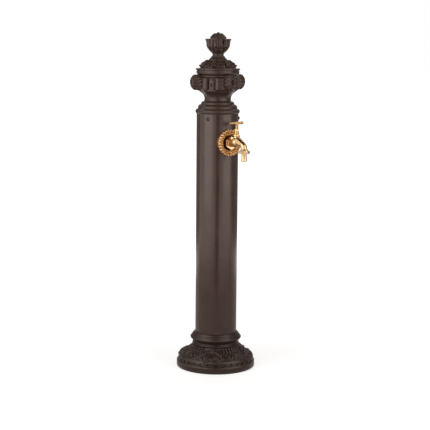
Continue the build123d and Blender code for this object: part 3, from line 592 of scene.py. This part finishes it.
rim = (eased([(foot_radius - 0.0006, 0.0), (foot_radius, 0.0008), (foot_radius, 0.0136)])
       + flowing([(foot_radius - 0.0002, 0.0150), (foot_radius - 0.0012, 0.0167), (0.1003, 0.0175)])
       + [(0.0990, 0.0174), (0.0984, 0.0180)])
skirt_core = [(0.0945, 0.0182), (0.0925, 0.0240), (0.0905, 0.0290), (0.0800, 0.0350), (0.0740, 0.0382),
              (0.0680, 0.0430), (0.0610, 0.0495), (0.0570, 0.0560)]
collar_ring = eased([(0.0575, 0.0578), (0.0592, 0.0586), (0.0612, 0.0596), (0.0616, 0.0614),
                     (0.0606, 0.0630), (0.0580, 0.0636), (0.0576, 0.0664), (0.0590, 0.0688),
                     (0.0622, 0.0698), (0.0628, 0.0714), (0.0640, 0.0722), (0.0656, 0.0740),
                     (0.0667, 0.0764), (0.0668, 0.0776)])
cone = eased([(0.0668, 0.0776), (0.0661, 0.0787), (0.0602, 0.0868), (0.0592, 0.0872), (0.0588, 0.0884),
              (0.0566, 0.0912), (0.0556, foot_top)], ease=0.0005)
inside = [(0.0134, foot_top), (0.0134, 0.084), (0.0540, 0.084), (0.0560, 0.0520), (0.0700, 0.0370),
          (0.0870, 0.0270), (0.0890, 0.0140), (0.0955, 0.0065), (0.0965, 0.0), (foot_radius - 0.0006, 0.0)]
# The foot's enamel is 0.68 as bright as the tube's: painted shade for the light that falls off towards the
# floor. Its duller gloss is the casting's own
foot_brown_shaded = enamel("brown_enamel_foot_shaded", shade=0.68, rough=(0.26, 0.34), sheen=0.42)
foot = lathe("foot_casting", rim + skirt_core + collar_ring + cone + inside, steps=224)
finish_piece(foot, foot_brown_shaded)
skirt_shown = [(0.0984, 0.0180), (0.0978, 0.0186), (0.0976, 0.0206)] + flowing(skirt_slope)
skirt_hidden = [(0.0592, 0.0580), (0.0580, 0.0560), (0.0625, 0.0490), (0.0700, 0.0410), (0.0800, 0.0340),
                (0.0910, 0.0280), (0.0925, 0.0230), (0.0925, 0.0180), (0.0984, 0.0180)]
skirt = carve("foot_skirt", skirt_shown, skirt_hidden, foot_relief, steps=760, rows=112)
finish_piece(skirt, foot_brown_shaded)
for piece in (foot, skirt):
    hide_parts("base_casting")


# Head casting.
# One casting whose spigot fits inside the tube: a moulded collar, a waisted neck and a drum with
# smooth upright lobes either side of four sunk panels, under a rounded cornice.
head_bottom = column_top + seam
head_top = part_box("head_casting")[1].z
head_turn = -4.0
drum_radius = 0.0497
drum_high = 0.7570
panel_turn = head_turn + 41.5
panel_half = 12.3
panel_depth = 0.0052
plate_half = 0.0067
plate_rise = 0.0040
plate_shoulder = 0.7458
slot_middle = 0.7372
slot_half = 0.0024
slot_straight = 0.0020
slot_depth = 0.0042
lobe_turn = 24.5
lobe_half = 12.2
lobe_rise = 0.0058


def head_relief(turn, radius, height):
    """Lobes, sunk panels and the round-topped tongue with its slot in each panel."""
    panel = from_nearest(turn, panel_turn, 4)
    side = np.abs(panel) - lobe_turn
    lobe = np.where(side > 0, side / 2.4, side)
    end = rise_over(np.minimum(height - 0.7232, 0.7574 - height), 0, 0.0042) ** 0.5
    lobes = lobe_rise * dome_of(lobe, lobe_half) ** 0.8 * end - 0.0007 * hill(side - 5.5, 1.6) * end
    sunk = rise_over(panel_half - np.abs(panel), 0, 0.45) * rise_over(height, 0.7262, 0.7270)
    sunk = sunk * (1 - rise_over(height, 0.7552, 0.7560))
    across = np.radians(panel) * (drum_radius - 0.002)
    reach = np.where(height > plate_shoulder, np.hypot(across, height - plate_shoulder), np.abs(across))
    plate = rise_over(plate_half - reach, 0, 0.0008)
    slot_reach = np.hypot(across, np.maximum(np.abs(height - slot_middle) - slot_straight, 0))
    slot = rise_over(slot_half - slot_reach, 0, 0.0008)
    return lobes + sunk * (-panel_depth + plate_rise * plate - slot_depth * slot)


collar = flowing([(0.0549, head_bottom), (0.0563, 0.6662), (0.0572, 0.6697), (0.0561, 0.6732),
                  (0.0531, 0.6757)])
first_step = flowing([(0.0503, 0.6768), (0.0508, 0.6791), (0.0502, 0.6820), (0.0480, 0.6850),
                      (0.0456, 0.6868)])
second_step = flowing([(0.0428, 0.6880), (0.0426, 0.6900), (0.0418, 0.6922), (0.0390, 0.6944),
                       (0.0354, 0.6957)])
neck = flowing([(0.0346, 0.6974), (0.0341, 0.7020), (0.0345, 0.7055), (0.0356, 0.7085), (0.0375, 0.7117),
                (0.0398, 0.7144), (0.0430, 0.7171), (0.0458, 0.7189)])
drum_core = eased([(0.0462, 0.7198), (0.0480, 0.7208), (0.0484, 0.7224), (0.0440, 0.7240), (0.0440, 0.7560),
                   (0.0526, 0.7574), (0.0533, 0.7590), (0.0533, 0.7606), (0.0518, 0.7622)])
cornice = flowing([(0.0527, 0.7640), (0.0541, 0.7652), (0.0549, 0.7676), (0.0549, 0.7706), (0.0542, 0.7732)])
cornice_lip = eased([(0.0541, 0.7739), (0.0563, 0.7746), (0.0565, 0.7752), (0.0565, 0.7780),
                     (0.0552, 0.7789), (0.0526, 0.7789)], ease=0.0004)
mouldings = (collar + [(0.0522, 0.6762), (0.0504, 0.6764)]
             + first_step + [(0.0440, 0.6873), (0.0429, 0.6877)]
             + second_step + [(0.0347, 0.6964)]
             + neck + drum_core + cornice + cornice_lip)
head_inside = [(0.0524, head_top), (0.03995, head_top), (0.03995, 0.7226), (0.0281, 0.7130),
               (0.0053, 0.7130), (0.0053, 0.7020), (0.0281, 0.7020), (0.0281, 0.6879), (0.04495, 0.6640),
               (0.04495, 0.6400), (0.05095, 0.6400), (0.05095, head_bottom), (0.0549, head_bottom)]
# The castings' enamel is 1.08 as bright as the tube's: painted light for the top of the standpipe, which is
# lit more than the foot. Its duller gloss is the castings' own
cast_brown_lit = enamel("brown_enamel_cast_lit", shade=1.08, rough=(0.25, 0.33), sheen=0.42)
head = lathe("head_casting_turned", mouldings + head_inside, steps=224)
drum_shown = [(0.0478, 0.7216), (drum_radius, 0.7226), (drum_radius, drum_high), (0.0515, 0.7574)]
drum_hidden = [(0.0515, 0.7574), (0.0430, 0.7566), (0.0430, 0.7224), (0.0478, 0.7216)]
drum = carve("head_drum", drum_shown, drum_hidden, head_relief, steps=800, rows=70)
for piece in (head, drum):
    finish_piece(piece, cast_brown_lit)
    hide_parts("head_casting")


# Bosses of the head.
# Four carved bosses are cast with the drum: each is a round leaf that curls over to an eye at its
# nose, with two rows of lobes that spread from the eye.
boss_centre = 0.7452
boss_nose = 0.0786
boss_root = 0.0440
boss_petals = 11
petal_half = 14.6
petal_swirl = 1500
narrow_at_root = 0.56
wider_at_nose = 0.12
scale_above = 0.93
scale_below = 1.06
boss_profile = [(0.0, boss_nose), (0.0035, boss_nose), (0.0075, 0.0779), (0.0115, 0.0754), (0.0150, 0.0708),
                (0.0178, 0.0655), (0.0199, 0.0590), (0.0209, 0.0520), (0.0206, boss_root)]


def boss_relief(turn, radius, height):
    """Polar about the eye: a bead in a ring, then two rows of long petals that lie over each other."""
    bead = 0.0022 * dome_of(radius, 0.0028)
    ditch = -0.0052 * hill(radius - 0.0048, 0.0026)
    way = np.hypot(np.maximum(radius - 0.0070, 0), (boss_nose - height) * 0.8)
    swirl = turn + way * petal_swirl
    upper = from_nearest(swirl, 0, boss_petals)
    lower = from_nearest(swirl, 16.4, boss_petals)
    out = rise_over(radius, 0.0062, 0.0078)
    tip_upper = 0.0168 - 0.0060 * (upper / 16.4) ** 2
    tip_lower = 0.0310 - 0.0060 * (lower / 16.4) ** 2
    row_upper = 0.0054 * dome_of(upper, petal_half) * rise_over(tip_upper - way, 0, 0.0012)
    row_upper = row_upper * (0.55 + 0.45 * rise_over(way, 0.001, 0.012))
    row_lower = 0.0030 * dome_of(lower, petal_half) * rise_over(tip_lower - way, 0, 0.0014)
    veins = 0.0010 * hill(upper, 3.0) * rise_over(tip_upper - way, 0, 0.002) * rise_over(way, 0.002, 0.005)
    return bead + ditch + out * (np.maximum(row_upper - veins, row_lower) - 0.0024)


bosses = []
for quarter in range(4):
    boss = carve("boss_%d" % (quarter + 1), flowing(boss_profile, parts=5),
                 [(0.0206, boss_root), (0.0, boss_root)], boss_relief, steps=200, rows=84)
    for point in boss.data.vertices:
        out = point.co.z
        widen = narrow_at_root + wider_at_nose * min(max((out - 0.045) / 0.017, 0), 1)
        up = -point.co.y
        point.co = (point.co.x * widen, -out, boss_centre + up * (scale_above if up > 0 else scale_below))
    select_only(boss)
    bpy.ops.object.mode_set(mode="EDIT")
    bpy.ops.mesh.select_all(action="SELECT")
    bpy.ops.transform.rotate(value=-radians(head_turn + 90 * quarter), orient_axis="Z",
                             center_override=(0, 0, 0))
    bpy.ops.mesh.normals_make_consistent(inside=False)
    bpy.ops.object.mode_set(mode="OBJECT")
    finish_piece(boss, cast_brown_lit)
    bosses.append(boss)
for boss in bosses:
    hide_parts("head_casting")


# Dome.
# A low cast lid on the drum, covered with two rows of eight acanthus leaves whose tips lie on its rim.
# The stud from the finial pulls it down on the head.
dome_bottom = head_top + seam
dome_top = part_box("dome_casting")[1].z
dome_leaves = 8
dome_leaf_root = 0.0246
dome_leaf_reach = 0.0290
dome_leaf_half = 0.0158
lower_leaves = (22.5, 0.0026)
upper_leaves = (0, 0.0056)


def dome_relief(turn, radius, height):
    """Two rows of leaves, each with its first turn and its rise, on a sunk ground."""
    way = np.hypot(radius - dome_leaf_root, (dome_top - height) * 0.9)
    half = dome_leaf_half * (0.56 + 0.44 * way / dome_leaf_reach)
    out = np.zeros_like(radius)
    for start, lift in (lower_leaves, upper_leaves):
        across = np.radians(from_nearest(turn, start, dome_leaves)) * radius
        raised = leaf(across, way, half, dome_leaf_reach * 0.96, lobes=2.4, crown=lift, vein=0.0018,
                      cut=0.80, sweep=1.0)
        out = np.maximum(out, raised)
    return out - 0.0026 + 0.0012 * rise_over(radius, 0.043, 0.046)


dome_shown = flowing([(0.0466, dome_bottom), (0.0470, 0.7805), (0.0466, 0.7826), (0.0452, 0.7846),
                      (0.0427, 0.7862), (0.0405, 0.7882), (0.0372, 0.7916), (0.0330, 0.7944),
                      (0.0285, 0.7960), (0.0248, dome_top)])
dome_hidden = [(0.0248, dome_top), (0.0053, dome_top), (0.0053, 0.7920), (0.0248, 0.7920),
               (0.0349, dome_bottom), (0.0349, 0.7740), (0.0399, 0.7740), (0.0399, dome_bottom),
               (0.0466, dome_bottom)]
dome = carve("dome_carved", dome_shown, dome_hidden, dome_relief, steps=600, rows=72)
finish_piece(dome, cast_brown_lit)
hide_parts("dome_casting")


# Finial.
# A cast bud in a cup of four petals, on a waisted foot. It screws down on the stud that holds the
# dome and the head together.
finial_bottom = dome_top + seam
finial_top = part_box("finial_casting")[1].z
petal_turn = 45
cup_low = 0.8150
cup_high = 0.8536
cup_ridges = 12
lip_low = 0.8405
lip_radius = 0.0225
lip_push = 0.0058
lip_half = 27
foot_flutes = 14
bud_scales = 11
bud_twist = 3600


def finial_relief(turn, radius, height):
    """Ridged petals with deep gaps at their sides, a fluted foot and a bud of twisted scales."""
    in_cup = rise_over(height, cup_low, 0.8265) * (1 - rise_over(height, 0.8522, 0.8532))
    ridges = 0.0034 * dome_of(from_nearest(turn, petal_turn, cup_ridges), 14.2) - 0.0022
    petal = 0.0014 * dome_of(from_nearest(turn, petal_turn, 4), 44)
    hollow = -0.0040 * hill(from_nearest(turn, 0, 4), 17) * hill(height - 0.8440, 0.0095)
    eyes = -0.0026 * hill(from_nearest(turn, 15, cup_ridges), 6) * hill(height - 0.8300, 0.0045)
    cup = (ridges + petal + hollow + eyes) * in_cup
    flutes = 0.0019 * dome_of(from_nearest(turn, 0, foot_flutes), 11.5) * rise_over(height, 0.7985, 0.8005)
    flutes = flutes * (1 - rise_over(height, 0.8085, 0.8105)) - 0.0008 * rise_over(0.8085 - height, 0, 0.002)
    bud = rise_over(height, 0.8545, 0.8558)
    scale = from_nearest(turn + (height - cup_high) * bud_twist, 0, bud_scales)
    scales = 0.0028 * dome_of(scale, 14.5) * bud * (1 - rise_over(height, 0.8660, 0.8690))
    return cup + flutes + scales - 0.0016 * bud * (radius > 0.004)


finial_shown = flowing([(0.0240, finial_bottom), (0.0243, 0.7985), (0.0228, 0.8003), (0.0196, 0.8036),
                        (0.0158, 0.8078), (0.0142, 0.8120), (0.0153, 0.8165), (0.0187, 0.8218),
                        (0.0226, 0.8272), (0.0266, 0.8330), (0.0279, 0.8390), (0.0274, 0.8450),
                        (0.0266, 0.8495), (0.0266, 0.8528), (0.0250, 0.8536), (0.0222, 0.8531),
                        (0.0208, 0.8542), (0.0202, 0.8556), (0.0184, 0.8584), (0.0158, 0.8612),
                        (0.0127, 0.8640), (0.0092, 0.8665), (0.0056, 0.8684), (0.0022, 0.8697),
                        (0.0, finial_top)])
finial_hidden = [(0.0, finial_top), (0.0, 0.8152), (0.0051, 0.8152), (0.0051, finial_bottom),
                 (0.0240, finial_bottom)]
finial = carve("finial_carved", finial_shown, finial_hidden, finial_relief, steps=440, rows=150)
for point in finial.data.vertices:
    # The four petal tips bend out flat at the cup's edge
    if not lip_low < point.co.z < cup_high + 0.0004:
        continue
    reach = hypot(point.co.x, point.co.y)
    if reach < lip_radius:
        continue
    away = from_nearest(np.degrees(np.arctan2(point.co.x, -point.co.y)), petal_turn, 4)
    up = min((point.co.z - lip_low) / (cup_high - lip_low), 1)
    push = lip_push * up ** 1.5 * float(hill(away, lip_half))
    point.co.x *= 1 + push / reach
    point.co.y *= 1 + push / reach
finish_piece(finial, cast_brown_lit)
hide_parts("finial_casting")


# Screws of the head.
# Three browned socket screws go through the tube into the head's spigot, just below the collar.
flat_within = radians(0.6)
sharp_above = radians(34)
turned_smooth_below = radians(30)


def from_solid(node_name, piece_name, bevel, parts=2):
    """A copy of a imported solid, merged and with its sharp edges broken, to stand for the solid."""
    piece = bpy.data.objects.new(piece_name, nodes[node_name].data.copy())
    bpy.context.scene.collection.objects.link(piece)
    select_only(piece)
    bpy.ops.object.mode_set(mode="EDIT")
    bpy.ops.mesh.select_all(action="SELECT")
    bpy.ops.mesh.remove_doubles(threshold=1e-6)
    bpy.ops.mesh.dissolve_limited(angle_limit=flat_within)
    bpy.ops.mesh.normals_make_consistent(inside=False)
    bpy.ops.object.mode_set(mode="OBJECT")
    if bevel:
        broken = piece.modifiers.new("broken_edges", "BEVEL")
        broken.width = bevel
        broken.segments = parts
        broken.limit_method = "ANGLE"
        broken.angle_limit = sharp_above
        bpy.ops.object.modifier_apply(modifier="broken_edges")
    bpy.ops.object.shade_smooth_by_angle(angle=turned_smooth_below)
    return piece


def metal(name, dark, light, rough, grain, grain_scale, grime_and_shade=0.6):
    """A bare metal: two tones in soft clouds, fine polishing marks, and dirt with painted shade darkening its
    hollows.
    """
    finish = new_material(name)
    tree = finish.node_tree
    place = node(tree, "ShaderNodeTexCoord")
    cloud = noise(tree, place, scale=140, detail=4)
    tone = two_tones(tree, cloud, dark, light, stops=(0.35, 0.65))
    # Painted shade, with dirt: the hollows are darkened by the given amount, and the edges are left as they
    # are
    shaded_tone = hollow_shade_edge_highlight(tree, tone, shapes=(0.42, 0.52), levels=(1 - grime_and_shade, 1))
    marks = noise(tree, place, grain_scale, detail=3)
    gloss = gloss_between(tree, marks, rough)
    bump = bumps(tree, marks, grain, depth=0.0001)
    surface = node(tree, "ShaderNodeBsdfPrincipled")
    surface.inputs["Metallic"].default_value = 1.0
    tree.links.new(shaded_tone.outputs["Vector"], surface.inputs["Base Color"])
    tree.links.new(gloss.outputs["Result"], surface.inputs["Roughness"])
    tree.links.new(bump.outputs["Normal"], surface.inputs["Normal"])
    close_material(tree, surface)
    return finish


dark_steel = metal("dark_steel", (0.045, 0.036, 0.033), (0.085, 0.070, 0.064), rough=(0.28, 0.42), grain=0.15,
                   grain_scale=900)
screws = from_solid("head_screws", "head_screws_dressed", bevel=0.00035)
finish_piece(screws, dark_steel)
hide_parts("head_screws")


# Rosette.
# A cast brass wreath between the tap and the column. Its back is curved to the tube, and two rows
# of small leaves go round its face. It is left as cast and rubbed, so it is duller than the tap.
tap_height = 0.592
rosette_back = column_radius + seam
rosette_count = 24
rosette_twist = 420
rosette_middle = 0.0275
inner_row_turn = 7.5
wreath_flat = 0.0555


def wreath_relief(turn, radius, height):
    """Two rows of round leaves that lean with the radius, and a pit at every second inner leaf."""
    twist = (radius - rosette_middle) * rosette_twist
    outer_turn = np.radians(from_nearest(turn + twist, 0, rosette_count)) * radius
    inner_turn = np.radians(from_nearest(turn + twist, inner_row_turn, rosette_count)) * radius
    outer = dome_of(np.hypot(outer_turn / 0.0039, (radius - 0.0313) / 0.0044), 1)
    inner = dome_of(np.hypot(inner_turn / 0.0031, (radius - 0.0242) / 0.0040), 1)
    pit_turn = np.radians(from_nearest(turn + twist, inner_row_turn, rosette_count / 2)) * radius
    pits = hill(np.hypot(pit_turn, radius - 0.0280), 0.0030)
    face = rise_over(height, 0.0578, 0.0590)
    return face * (0.0028 * np.maximum(outer, inner) - 0.0034 * pits - 0.0020)


wreath_front = flowing([(0.0332, 0.0560), (0.0342, 0.0574), (0.0342, 0.0588), (0.0331, 0.0603),
                        (0.0308, 0.0619), (0.0276, 0.0626), (0.0243, 0.0617), (0.0216, 0.0601),
                        (0.0202, 0.0588), (0.0200, 0.0570)], parts=8)
wreath_back = [(0.0200, 0.0570), (0.0200, 0.0567), (0.0108, 0.0567), (0.0108, 0.0540), (0.0315, 0.0440),
               (0.0315, 0.0560), (0.0332, 0.0560)]
wreath = carve("wreath", wreath_front, wreath_back, wreath_relief, steps=600, rows=64)
for point in wreath.data.vertices:
    across, up, out = point.co.x, -point.co.y, point.co.z
    column_face = sqrt(rosette_back ** 2 - across ** 2)
    if out < wreath_flat:
        out = column_face
    point.co = (across, -max(out, column_face), tap_height + up)
select_only(wreath)
bpy.ops.object.mode_set(mode="EDIT")
bpy.ops.mesh.select_all(action="SELECT")
bpy.ops.mesh.normals_make_consistent(inside=False)
bpy.ops.object.mode_set(mode="OBJECT")
# The wreath's hollows and pits go almost black: patina, and painted shade
antique_brass = metal("antique_brass", (0.55, 0.275, 0.107), (0.87, 0.52, 0.235), rough=(0.30, 0.44),
                      grain=0.35, grain_scale=700, grime_and_shade=0.95)
finish_piece(wreath, antique_brass)
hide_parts("tap_rosette")


# Tap body.
# A bib tap cast in one and polished: a round collar and a hexagon on the inlet, a bulb under the
# spindle, and a spout that bends down to its threaded outlet.
packed_hex = (0.0616, 0.0746)
cast_hex = (0.0586, 0.0664)
hex_edge = 0.0012
tap_neck_radius = 0.0094


def softened(node_name, piece_name, voxel, passes, reshape=None):
    """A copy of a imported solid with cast, rounded edges. A reshape may move its points first."""
    piece = from_solid(node_name, piece_name, bevel=0)
    if reshape:
        for point in piece.data.vertices:
            point.co = reshape(point.co)
    cast = piece.modifiers.new("cast", "REMESH")
    cast.mode = "VOXEL"
    cast.voxel_size = voxel
    bpy.ops.object.modifier_apply(modifier="cast")
    rubbed = piece.modifiers.new("rubbed", "SMOOTH")
    rubbed.factor = 0.5
    rubbed.iterations = passes
    bpy.ops.object.modifier_apply(modifier="rubbed")
    bpy.ops.object.shade_smooth()
    return piece


def seat_hexagon(point):
    """The hexagon sits close to the wreath, and the neck in front of it is that much longer."""
    if hypot(point.x, point.z - tap_height) < tap_neck_radius:
        return point
    for packed, cast in zip(packed_hex, cast_hex):
        if abs(-point.y - packed) < hex_edge:
            return Vector((point.x, -cast - (-point.y - packed), point.z))
    return point


tap_brass = metal("tap_brass", (0.74, 0.45, 0.20), (0.86, 0.59, 0.32), rough=(0.15, 0.22), grain=0.06,
                  grain_scale=1600, grime_and_shade=0.5)
tap = softened("tap_body", "tap_body_cast", voxel=0.00045, passes=5, reshape=seat_hexagon)
finish_piece(tap, tap_brass)
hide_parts("tap_body")


# Head works of the tap.
# The bonnet screws into the body over a fibre ring, and its gland nut squeezes the packing round
# the spindle. Both are turned from hexagon brass, and duller than the polished body.
turned_brass = metal("turned_brass", (0.44, 0.26, 0.095), (0.60, 0.38, 0.165), rough=(0.26, 0.36), grain=0.10,
                     grain_scale=1300, grime_and_shade=0.6)
bonnet = from_solid("bonnet", "bonnet_turned", bevel=0.00028, parts=3)
gland = from_solid("gland_nut", "gland_nut_turned", bevel=0.00025, parts=3)
for piece, solid in ((bonnet, "bonnet"), (gland, "gland_nut")):
    finish_piece(piece, turned_brass)
    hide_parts(solid)


# Spindle and handle.
# A turned spindle rises through the gland, and a cast T handle with round ends sits on its square
# and is held by a small screw.
spindle = from_solid("spindle", "spindle_turned", bevel=0.0002)
finish_piece(spindle, turned_brass, body="handle")
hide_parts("spindle")
handle = softened("t_handle", "t_handle_cast", voxel=0.00022, passes=6)
finish_piece(handle, turned_brass, body="handle")
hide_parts("t_handle")
cap_screw = from_solid("handle_screw", "handle_screw_turned", bevel=0.0002)
finish_piece(cap_screw, tap_brass, body="handle")
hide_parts("handle_screw")


# Hose union.
# The union nut draws the collar of the hose tail up against its rubber washer. The tail has one
# low barb for a garden hose.
satin_brass = metal("satin_brass", (0.88, 0.57, 0.31), (0.96, 0.70, 0.43), rough=(0.30, 0.40), grain=0.10,
                    grain_scale=1300, grime_and_shade=0.4)
nut = from_solid("union_nut", "union_nut_turned", bevel=0.00035, parts=3)
finish_piece(nut, satin_brass, body="union")
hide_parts("union_nut")
hose_tail = from_solid("hose_tail", "hose_tail_turned", bevel=0.0002)
finish_piece(hose_tail, tap_brass, body="tail")
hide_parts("hose_tail")


# Parts inside the column and the foot, and the seals.
# The supply pipe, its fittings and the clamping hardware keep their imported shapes, which is how
# they are made, and get the finish of zinc, brass, rubber or fibre.
def soft_finish(name, dark, light, rough, grain_scale):
    """Rubber or pressed fibre: matt, with a fine grain."""
    finish = new_material(name)
    tree = finish.node_tree
    place = node(tree, "ShaderNodeTexCoord")
    grain = noise(tree, place, grain_scale, detail=4)
    tone = two_tones(tree, grain, dark, light)
    bump = bumps(tree, grain, strength=0.3, depth=0.0001)
    surface = node(tree, "ShaderNodeBsdfPrincipled")
    surface.inputs["Roughness"].default_value = rough
    tree.links.new(tone.outputs["Color"], surface.inputs["Base Color"])
    tree.links.new(bump.outputs["Normal"], surface.inputs["Normal"])
    close_material(tree, surface)
    return finish


zinc = metal("zinc_steel", (0.50, 0.51, 0.52), (0.66, 0.67, 0.68), rough=(0.28, 0.4), grain=0.2,
             grain_scale=600)
rubber = soft_finish("rubber", (0.035, 0.035, 0.035), (0.06, 0.06, 0.06), rough=0.75, grain_scale=900)
fibre = soft_finish("fibre", (0.55, 0.50, 0.42), (0.72, 0.68, 0.60), rough=0.85, grain_scale=1200)
inside_finishes = {
    zinc: ["foot_bolts", "riser_pipe", "finial_stud", "finial_washer", "finial_nut"],
    tap_brass: ["inlet_fitting", "inlet_locknut", "tap_elbow", "inner_saddle", "tap_backnut", "jumper_valve",
                "jumper_nut"],
    brown: ["tube_foot_plate"],
    rubber: ["hose_washer", "jumper_washer"],
    fibre: ["bonnet_gasket", "gland_packing"],
}
for finish, names in inside_finishes.items():
    for name in names:
        if not nodes[name].material_slots:
            nodes[name].data.materials.append(finish)
        for slot in nodes[name].material_slots:
            slot.material = finish
